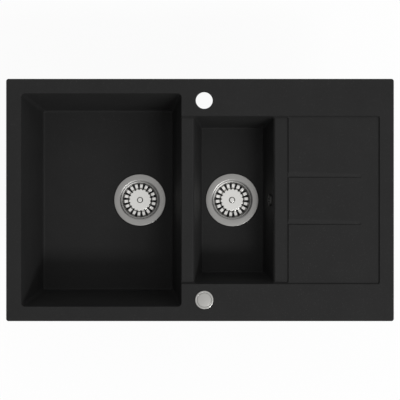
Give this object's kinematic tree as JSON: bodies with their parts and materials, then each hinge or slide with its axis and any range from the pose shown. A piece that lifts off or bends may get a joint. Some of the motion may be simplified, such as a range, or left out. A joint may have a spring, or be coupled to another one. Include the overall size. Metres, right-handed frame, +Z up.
{
  "type": "double bowl kitchen sink",
  "caption": "Inset granite composite kitchen sink with a large bowl, a small bowl and a drainer, basket strainers, a pop-up button, an overflow, waste pipework and fixing clips.",
  "frame": {"origin": "centre of the outline in plan, on the worktop plane under the rim", "axes": "+Z up out of the bowls, +X from the main bowl towards the drainer, +Y towards the wall"},
  "size_m": [0.8, 0.5, 0.3768],
  "materials": {
    "granite": "satin, fine grained",
    "steel": "brushed",
    "bright_steel": "polished",
    "screw_steel": "plated",
    "black_plastic": "satin",
    "white_plastic": "satin",
    "rubber": "matt",
    "grey_rubber": "matt"
  },
  "bodies": {
    "sink": {"sink_deck": "granite", "main_bowl": "granite", "small_bowl": "granite", "main_flange": "steel", "main_flange_seal": "rubber", "main_body_seal": "rubber", "main_centre_bolt": "screw_steel", "main_waste_body": "white_plastic", "small_flange": "steel", "small_flange_seal": "rubber", "small_body_seal": "rubber", "small_centre_bolt": "screw_steel", "small_waste_body": "white_plastic", "cable_ferrule": "screw_steel", "bowden_cable": "black_plastic", "button_bezel": "bright_steel", "button_gasket": "rubber", "button_nut": "black_plastic", "button_housing": "black_plastic", "overflow_cover": "steel", "overflow_screw": "bright_steel", "overflow_gasket": "rubber", "overflow_elbow": "white_plastic", "overflow_hose": "white_plastic", "hose_clips": "screw_steel", "small_elbow": "white_plastic", "link_pipe": "white_plastic", "outlet_tee": "white_plastic", "slip_nuts": "white_plastic", "slip_washers": "grey_rubber", "clip_screws": "screw_steel", "clip_plugs": "black_plastic"},
    "lift_pin": {"lift_pin": "screw_steel"},
    "lift_lever": {"lift_shaft": "screw_steel", "lift_crank": "black_plastic"},
    "pull_wire": {"pull_wire": "screw_steel"},
    "push_button": {"button_cap": "bright_steel"},
    "main_strainer": {"main_basket": "bright_steel", "main_basket_knob": "bright_steel", "main_basket_plug": "black_plastic", "main_basket_seal": "rubber", "main_basket_stem": "screw_steel"},
    "small_strainer": {"small_basket": "bright_steel", "small_basket_knob": "bright_steel", "small_basket_plug": "black_plastic", "small_basket_seal": "rubber", "small_basket_stem": "screw_steel"},
    "clip_1": {"clip_1": "screw_steel"},
    "clip_2": {"clip_2": "screw_steel"},
    "clip_3": {"clip_3": "screw_steel"},
    "clip_4": {"clip_4": "screw_steel"},
    "clip_5": {"clip_5": "screw_steel"},
    "clip_6": {"clip_6": "screw_steel"},
    "clip_7": {"clip_7": "screw_steel"},
    "clip_8": {"clip_8": "screw_steel"}
  },
  "joints": [
    {"name": "pop_up_lift", "type": "slide", "parent": "sink", "child": "lift_pin", "axis": [0, 0, 1], "range_m": [0, 0.008]},
    {"name": "lever_turn", "type": "hinge", "parent": "sink", "child": "lift_lever", "pos_m": [-0.11807, -0.03, -0.23715], "axis": [0, 1, 0], "range_deg": [0, 30]},
    {"name": "wire_pull", "type": "slide", "parent": "sink", "child": "pull_wire", "axis": [1, 0, 0], "range_m": [0, 0.005]},
    {"name": "button_push", "type": "slide", "parent": "sink", "child": "push_button", "axis": [0, 0, -1], "range_m": [0, 0.005]},
    {"name": "main_strainer_removal", "type": "slide", "parent": "lift_pin", "child": "main_strainer", "axis": [0, 0, 1], "range_m": [0, 0.07]},
    {"name": "small_strainer_removal", "type": "slide", "parent": "sink", "child": "small_strainer", "axis": [0, 0, 1], "range_m": [0, 0.07]},
    {"name": "clip_1_swing", "type": "hinge", "parent": "sink", "child": "clip_1", "pos_m": [-0.3, 0.2333, -0.0435], "axis": [0, 0, 1], "range_deg": [0, 90]},
    {"name": "clip_2_swing", "type": "hinge", "parent": "sink", "child": "clip_2", "pos_m": [-0.11, 0.2333, -0.0435], "axis": [0, 0, 1], "range_deg": [0, 90]},
    {"name": "clip_3_swing", "type": "hinge", "parent": "sink", "child": "clip_3", "pos_m": [0.11, 0.2333, -0.0435], "axis": [0, 0, 1], "range_deg": [0, 90]},
    {"name": "clip_4_swing", "type": "hinge", "parent": "sink", "child": "clip_4", "pos_m": [0.3, 0.2333, -0.0435], "axis": [0, 0, 1], "range_deg": [0, 90]},
    {"name": "clip_5_swing", "type": "hinge", "parent": "sink", "child": "clip_5", "pos_m": [-0.3, -0.2333, -0.0435], "axis": [0, 0, -1], "range_deg": [0, 90]},
    {"name": "clip_6_swing", "type": "hinge", "parent": "sink", "child": "clip_6", "pos_m": [-0.11, -0.2333, -0.0435], "axis": [0, 0, -1], "range_deg": [0, 90]},
    {"name": "clip_7_swing", "type": "hinge", "parent": "sink", "child": "clip_7", "pos_m": [0.11, -0.2333, -0.0435], "axis": [0, 0, -1], "range_deg": [0, 90]},
    {"name": "clip_8_swing", "type": "hinge", "parent": "sink", "child": "clip_8", "pos_m": [0.3, -0.2333, -0.0435], "axis": [0, 0, -1], "range_deg": [0, 90]}
  ],
  "couplings": [
    {"joint": "lever_turn", "follows": "pop_up_lift", "rad_per_m": 65.45},
    {"joint": "wire_pull", "follows": "pop_up_lift", "ratio": 0.625},
    {"joint": "button_push", "follows": "pop_up_lift", "ratio": 0.625}
  ]
}
